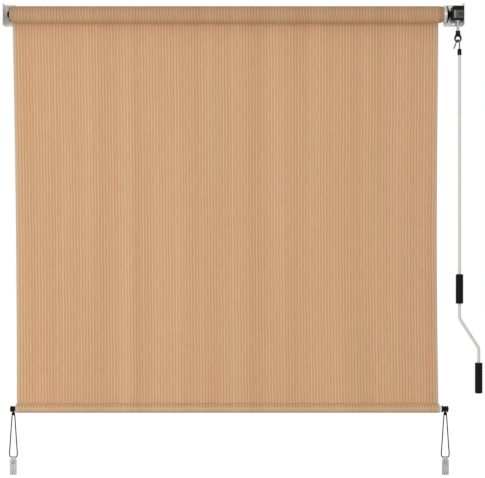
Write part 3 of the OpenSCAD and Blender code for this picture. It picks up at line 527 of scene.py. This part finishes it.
t = np.concatenate([[0.0], np.linspace(BORDER, 1 - BORDER, PANEL_ROWS), [1.0]])
U, T = np.meshgrid(rib_places(PANEL_STEPS), t)
left_edge = FABRIC_X0 + LEFT_DRAW * (1 - (1 - T) ** 2)
right_edge = FABRIC_X0 + FABRIC_W + RIGHT_REACH - RIGHT_DRAW * np.sin(np.pi * T ** RIGHT_LOW)
X = left_edge + (right_edge - left_edge) * U / FABRIC_W
free = np.sin(np.pi * T) ** FREE_CURVE
swell = SWELL_H * free * soft_noise(U + SWELL_SWAY * np.sin(3 * T), seed=5, waves=6, low=0.09, high=0.32)
Y = PANEL_Y + RIB_H - rib_relief(U) + np.abs(swell) + BELLY * free
Z = FOOT_Z * T
panel = grid_piece("shade_cloth", np.stack([X, Y, Z], -1)[::-1], np.stack([U, -Z], -1)[::-1])
panel.data.materials.append(hung_knit)
thick = panel.modifiers.new("cloth_thickness", "SOLIDIFY")
thick.thickness = FABRIC_T
thick.offset = -1.0
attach(panel, "hem")
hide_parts("fabric_panel")
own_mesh(panel)


# Rolled cloth. The turns left on the tube: each turn out is shorter at its ends. The wind
# is drawn tight over the top and hangs looser below, where the ribs lean a little askew.
AXIS_Y = -0.056
TUBE_R = 0.03177
ROLL_R = 0.03729
TURNS = 4
TURN_PITCH = 0.00138
INSIDE_SHARE = 0.6
TIGHT, LOOSE = 0.62, 1.0
TURN_X0, TURN_X1 = -0.956, 0.901
STEP_LEFT, STEP_RIGHT = 0.017 / 3, 0.016 / 3
ROLL_STEPS = 72
ROLL_RIB_STEPS = 5
LEAN_BY, LEAN_BIAS = 0.011, 0.25
LEAN_COMES, LEAN_GOES = (1.6, 2.7), (3.3, 2.8)
SQUARE_LEFT, SQUARE_RIGHT = (0.03, 0.08), (0.04, 0.09)
END_SHOWN = 0.03
END_POINTS = 13


def turn_radius(count, a):
    """Outside of the turn with count pitches under it. The pitch's share goes from TIGHT at the top of the
    roll, angle 0, to LOOSE at its foot as the cosine of the angle does."""
    return TUBE_R + TURN_PITCH * count * (TIGHT + (LOOSE - TIGHT) * (0.5 - 0.5 * np.cos(a)))


def turn_shell(name, x, u, count, skew):
    """One turn of cloth: x and u across the cloth, the angle round it. The outside is the turn's radius less
    the valleys between ribs, then comes the inside a cloth's thickness under it, closed both ways."""
    a = np.linspace(0, 2 * np.pi, ROLL_STEPS, endpoint=False)
    A, X = np.meshgrid(a, np.append(x, x[[-1, 0]]))
    U = np.append(u, u[[-1, 0]])[:, None] + 0 * A
    outside = np.arange(len(X))[:, None] < len(x)
    R = turn_radius(count, A) + np.where(outside, rib_relief(U) - RIB_H, -INSIDE_SHARE * TURN_PITCH)
    points = np.stack([X + skew(X, A), AXIS_Y - R * np.sin(A), R * np.cos(A)], -1)
    return grid_piece(name, points, np.stack([U, ROLL_R * A], -1), closed=True)


def wound_askew(x, a):
    """Sideways drift of the ribs: none over the top of the roll or at its ends, most low on its front."""
    lean = ramp(a, *LEAN_COMES) * ramp(a, *LEAN_GOES)
    inside = ramp(x - TURN_X0, *SQUARE_LEFT) * ramp(TURN_X1 - x, *SQUARE_RIGHT)
    uneven = np.clip(LEAN_BIAS + soft_noise(x, seed=11, waves=5, low=0.12, high=0.5), 0, 1)
    return LEAN_BY * lean * inside * uneven


def wound_square(x, a):
    """No drift, for the turns of which only the ends show."""
    return 0 * a


x_left, x_right = TURN_X0 + 3 * STEP_LEFT, TURN_X1 - 3 * STEP_RIGHT
u = rib_places(ROLL_RIB_STEPS)
outer_turn = turn_shell("rolled_cloth", x_left + (x_right - x_left) * u / FABRIC_W, u, TURNS, wound_askew)
outer_turn.data.materials.append(wound_knit_painted_shade)
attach(outer_turn, "roller")
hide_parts("fabric_roll")
for k in range(1, TURNS):
    u = np.linspace(0.0, END_SHOWN, END_POINTS)
    ends = {"left": (x_left - k * STEP_LEFT + u, u),
            "right": ((x_right + k * STEP_RIGHT - u)[::-1], (FABRIC_W - u)[::-1])}
    for side, (end_x, end_u) in ends.items():
        turn_end = turn_shell(f"{side}_turn_end_{k}", end_x, end_u, TURNS - k, wound_square)
        turn_end.data.materials.append(wound_knit_painted_shade)
        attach(turn_end, "roller")


# Hem. The cloth goes round the bar and is sewn to itself above it in two rows, so the
# ribs run over it, stand deep where the stitches draw them in, and fade below. Its foot is
# a little slack. Painted shade darkens the valleys between ribs along the stitches and over the
# top of the hem, and greys its foot.
HEM_X0, HEM_X1 = -0.939, 0.887
HEM_R, HEM_INNER_R = 0.0157, 0.0145
HEM_ROUND = 56
HEM_RIB_STEPS = 6
HEM_V0, HEM_V_TURN = 1.7, 0.016
HEM_CROWDING = 1.6
TAB_DROP = 0.0022
TAB_TOP = STITCH_Z - TAB_DROP - HEM_Z
TAB_ANGLE, TAB_POWER = 0.62, 2.2
SEWN_H = 0.0225
TUCK, TUCK_WIDTH = 0.0007, 0.0016
SLACK = 0.001
GATHER_LEAST, GATHER_MORE = 0.45, 1.5
GATHER_AT, GATHER_WIDTH = 0.2, 0.45
SEAM_SHADE_WIDTH = 0.0022
TOP_SHADE_FROM, TOP_SHADE_TO = 0.006, 0.018
UNDERSIDE_SHADE_FROM, UNDERSIDE_SHADE_TO = 0.001, 0.014


def off_top(a):
    """Angle from the top of the hem, the same to the front and the back."""
    return np.abs((a + np.pi) % (2 * np.pi) - np.pi)


def hem_radius(a):
    """Distance of the hem's outside from the bar's axis at an angle from its top: the bar's round, drawn up
    to the sewn tab over TAB_ANGLE, with a shallow groove along the stitches, and a little slack at its
    foot that falls off as the square of the cosine below the axis."""
    radius = HEM_R + (TAB_TOP - HEM_R) * np.clip(1 - off_top(a) / TAB_ANGLE, 0, 1) ** TAB_POWER
    radius = radius + SLACK * np.clip(-np.cos(a), 0, 1) ** 2
    return radius - TUCK * np.exp(-((radius - SEWN_H) / TUCK_WIDTH) ** 2)


def hem_points(x, radius, a):
    """Points across the hem at a radius and an angle from the bar's axis."""
    return np.stack([x + 0 * a, HEM_Y - radius * np.sin(a), HEM_Z + radius * np.cos(a)], -1)


def mark(made, name, values):
    """A value for each outside point of the hem under that name; the two rows inside get 0."""
    layer = made.data.attributes.new(name, "FLOAT", "POINT")
    layer.data.foreach_set("value", np.concatenate([values, 0 * values[:2]]).astype(np.float32).ravel())


u = np.linspace(0, FABRIC_W, RIBS * HEM_RIB_STEPS + 1)
x = HEM_X0 + (HEM_X1 - HEM_X0) * u / FABRIC_W
half = np.linspace(0, 1, HEM_ROUND // 2 + 1) ** HEM_CROWDING * np.pi
a = np.concatenate([half, 2 * np.pi - half[-2:0:-1]])
U, A = np.meshgrid(u, a, indexing="ij")
gather = GATHER_LEAST + GATHER_MORE * np.exp(-((off_top(A) - GATHER_AT) / GATHER_WIDTH) ** 2)
R = hem_radius(A) + (rib_relief(U) - RIB_H) * gather
V = HEM_V0 + HEM_V_TURN * A
points = [hem_points(x[:, None], R, A), hem_points(np.array([[HEM_X1], [HEM_X0]]), HEM_INNER_R, A[:2])]
uv = [np.stack([U, V], -1), np.stack([np.array([[FABRIC_W], [0.0]]) + 0 * A[:2], V[:2]], -1)]
hem = grid_piece("hem_sleeve_cloth", np.concatenate(points), np.concatenate(uv), closed=True)
rise = R * np.cos(A)
# Painted shade on the hem: along the stitches, over its top between the ribs, and under its foot.
seam_shade = np.exp(-((rise - SEWN_H) / SEAM_SHADE_WIDTH) ** 2)
mark(hem, "crease_shade", 0.2 * seam_shade + 0.3 * ramp(rise, TOP_SHADE_FROM, TOP_SHADE_TO))
mark(hem, "underside_shade", ramp(-rise, UNDERSIDE_SHADE_FROM, UNDERSIDE_SHADE_TO))
hem.data.materials.append(hem_knit)
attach(hem, "hem")
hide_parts("hem_sleeve")


# Hem stitches. Two rows of tan polyester thread go through the sewn tab over the bar, and
# each stitch lies in its groove on the front and on the back.
THREAD_R = 0.0004
THREAD_L = 0.0036
THREAD_PITCH = 0.0052
THREAD_SIDES = 6
THREAD_RINGS = 5
THREAD_SUNK = 0.0002
ROWS_APART = 0.0042
ROW_INSET = 0.006


def stitch_row(height, front):
    """Capsules in a row along the hem at a height over the bar's axis, on its front or its back: round each
    run rings of points, their radius the root of 1 - w^4 at w along it from -1 to 1."""
    angles = np.linspace(0.0, 1.2, 400)
    at = np.interp(-height, -hem_radius(angles) * np.cos(angles), angles)
    y = HEM_Y - front * (hem_radius(at) * np.sin(at) - THREAD_SUNK)
    middles = np.arange(HEM_X0 + ROW_INSET, HEM_X1 - ROW_INSET, THREAD_PITCH)
    ring = np.arange(THREAD_SIDES) * 2 * np.pi / THREAD_SIDES
    W, G = np.meshgrid(np.linspace(-1, 1, THREAD_RINGS), ring, indexing="ij")
    r = THREAD_R * np.sqrt(np.clip(1 - W ** 4, 0, 1))
    one = np.stack([0.5 * THREAD_L * W, r * np.cos(G), r * np.sin(G)], -1).reshape(-1, 3)
    spread = np.stack([middles, np.full_like(middles, y), np.full_like(middles, HEM_Z + height)], 1)
    quads = grid_quads(THREAD_RINGS, THREAD_SIDES, close_cols=True)
    firsts = len(one) * np.arange(len(middles))[:, None, None]
    return (one[None] + spread[:, None]).reshape(-1, 3), (quads[None] + firsts).reshape(-1, 4)


thread, wire, shader = finish("tan_thread", specular=0.2)
twist = wire.node("TexWave", {"bands_direction": "DIAGONAL"}, {"Vector": place(wire), "Scale": 900.0})
dress(wire, shader, colour=twist.mix(paint(150, 114, 78), paint(184, 146, 106)),
      rough=0.7 - twist * 0.1, height=twist, depth=0.0001)

rows = [stitch_row(height, front) for height in (SEWN_H, SEWN_H - ROWS_APART) for front in (1, -1)]
firsts = np.cumsum([0] + [len(points) for points, _ in rows[:-1]])
stitches = quad_piece("hem_stitches", np.concatenate([points for points, _ in rows]),
                      np.concatenate([quads + first for (_, quads), first in zip(rows, firsts)]))
weld(stitches)
stitches.data.materials.append(thread)
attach(stitches, "hem")


# Hem bar and cord turns. The bar is a white coated tube in the hem, and its end shows
# beside the black cap. Turns of the same elastic cord are hitched round each cap.
bar_white, wire, shader = finish("bar_white", specular=0.5)
skin = noise(wire, detail=3.0, stretch=(20.0, 400.0, 400.0))
dress(wire, shader, colour=skin.mix(paint(222, 220, 214), paint(240, 239, 235)),
      rough=0.35 + skin * 0.12, height=skin, depth=0.00005)
coat(bar_white, "hem_bar")

wrap_cord, wire, shader = finish("wrap_cord", specular=0.1)
braid = cells(wire, scale=620.0)
dress(wire, shader, colour=braid.clamp(0.1, 0.6).mix(paint(46, 46, 45), paint(18, 18, 18)),
      rough=0.7 - braid * 0.1, height=braid, depth=0.0003)
coat(wrap_cord, "left_cord_wrap", "right_cord_wrap")


# Tie-down clips and hook. Zinc-plated steel: the clips are sheet, folded over the
# elastic loop, with painted shade round their screw holes, and the hook is bent wire, duller still.
HOLE_SHADES = {-1.9253: 0.85, -1.9663: 0.6}
HOLE_SHADE_FADES = (0.004, 0.0085)

zinc_plate, wire, shader = finish("zinc_plate", metal=0.45, specular=0.3)
bloom = noise(wire, scale=130.0, detail=4.0)
spangle = cells(wire, scale=340.0)
plate = (bloom * 0.7 + spangle * 0.4).clamp(0.2, 0.9).mix(paint(150, 150, 150), paint(197, 197, 196))
for x in LOOP_X.values():
    for z, painted_shade in HOLE_SHADES.items():
        # Painted shade: the plate darkens round each screw hole.
        hole_shade = (1 - off_axis(wire, x, z).clamp(*HOLE_SHADE_FADES)) * painted_shade
        plate = hole_shade.mix(plate, paint(40, 40, 39))
dress(wire, shader, colour=plate, rough=0.42 + bloom * 0.2, height=bloom, depth=0.00012)
coat(zinc_plate, "left_clip", "right_clip")

hook_wire, wire, shader = finish("hook_wire", metal=0.6, specular=0.3)
dulled = noise(wire, scale=240.0, detail=4.0)
dress(wire, shader, colour=dulled.mix(paint(78, 78, 78), paint(120, 120, 119)),
      rough=0.4 + dulled * 0.2, height=dulled, depth=0.0001)
coat(hook_wire, "wand_hook")


# Wand. A steel tube bent to a crank, in pale grey enamel with light scuffs; it hangs by
# its hook from the crank eye.
wand_enamel, wire, shader = finish("wand_enamel", specular=0.5)
flow = noise(wire, detail=3.0, stretch=(300.0, 300.0, 25.0))
scuff = noise(wire, scale=90.0, detail=5.0)
dress(wire, shader, colour=(flow * 0.5 + scuff * 0.5).mix(paint(197, 197, 195), paint(220, 220, 218)),
      rough=0.3 + scuff * 0.15, height=flow, depth=0.00006)
coat(wand_enamel, "wand_rod")


# Grips. Black moulded sleeves with a matt grain that turn on the wand's tube between two
# collars each.
grip_black, wire, shader = finish("grip_black", specular=0.08)
grain = cells(wire, scale=900.0)
wear = noise(wire, scale=35.0, detail=4.0)
dress(wire, shader, colour=(wear * 0.7 + grain * 0.3).mix(paint(5, 5, 5), paint(24, 24, 24)),
      rough=0.5 + wear * 0.2, height=grain, depth=0.00015)
coat(grip_black, "upper_grip", "lower_grip")


# Studio. A pale floor below the tie-downs, a broad soft lamp in front, a little above the
# roll, a fill low on the left, a third behind and white all round; floor and sky are plain
# white to the camera.
FLOOR_Z = -2.03
FLOOR_HALF = 4.0
FLOOR_GLOW = 1.12
FLOOR_PLAIN = 0.85
AMBIENT = 0.6
WHITE = (1, 1, 1, 1)
LAMPS_FACE = (0.0, 0.0, -0.9)


def plain_rays(wire):
    """1 for a ray from the camera, a mirror or a glass, else 0."""
    path = wire.tree.nodes.new("ShaderNodeLightPath")
    camera_ray, mirror_ray, glass_ray = [Wire(wire.tree, path.outputs[f"Is {kind} Ray"])
                                         for kind in ("Camera", "Glossy", "Transmission")]
    return camera_ray.most(mirror_ray.most(glass_ray))


corners = FLOOR_HALF * np.array([[-1, -1], [1, -1], [1, 1], [-1, 1]])
floor = quad_piece("studio_floor", np.column_stack([corners, np.full(4, FLOOR_Z)]), np.array([[0, 1, 2, 3]]))
floor_white, wire, shader = finish("floor_white", specular=0.0)
dress(wire, shader, colour=noise(wire, scale=2.0).mix(paint(244, 244, 244), paint(248, 248, 248)), rough=0.9)
glow = wire.node("Emission", None, {"Color": WHITE, "Strength": FLOOR_GLOW})
lit = Wire(wire.tree, shader.outputs[0])
shown = wire.node("MixShader", None, {0: plain_rays(wire) * FLOOR_PLAIN, 1: lit, 2: glow})
wire.tree.links.new(shown.socket, wire.tree.nodes["Material Output"].inputs["Surface"])
floor.data.materials.append(floor_white)

world = bpy.data.worlds.new("studio_white")
bpy.context.scene.world = world
world.use_nodes = True
wire = Wire(world.node_tree)
strength = AMBIENT + plain_rays(wire) * (1 - AMBIENT)
sky = world.node_tree.nodes["Background"]
world.node_tree.links.new(strength.socket, sky.inputs["Strength"])
sky.inputs["Color"].default_value = WHITE


def lamp(name, at, size, watts):
    """A square soft lamp that faces the middle of the shade."""
    data = bpy.data.lights.new(name, "AREA")
    data.size, data.energy = size, watts
    made = bpy.data.objects.new(name, data)
    made.location = at
    way = np.array(LAMPS_FACE) - np.array(at)
    tilt = math.acos(-way[2] / np.linalg.norm(way))
    made.rotation_euler = (tilt, 0, math.atan2(way[1], way[0]) - math.pi / 2)
    bpy.context.collection.objects.link(made)


lamp("key_lamp", at=(0.2, -5.6, 0.6), size=2.0, watts=44.0)
lamp("fill_lamp", at=(-3.4, -5.2, -1.2), size=1.6, watts=103.0)
lamp("back_lamp", at=(0.0, 5.6, -0.8), size=2.2, watts=66.0)
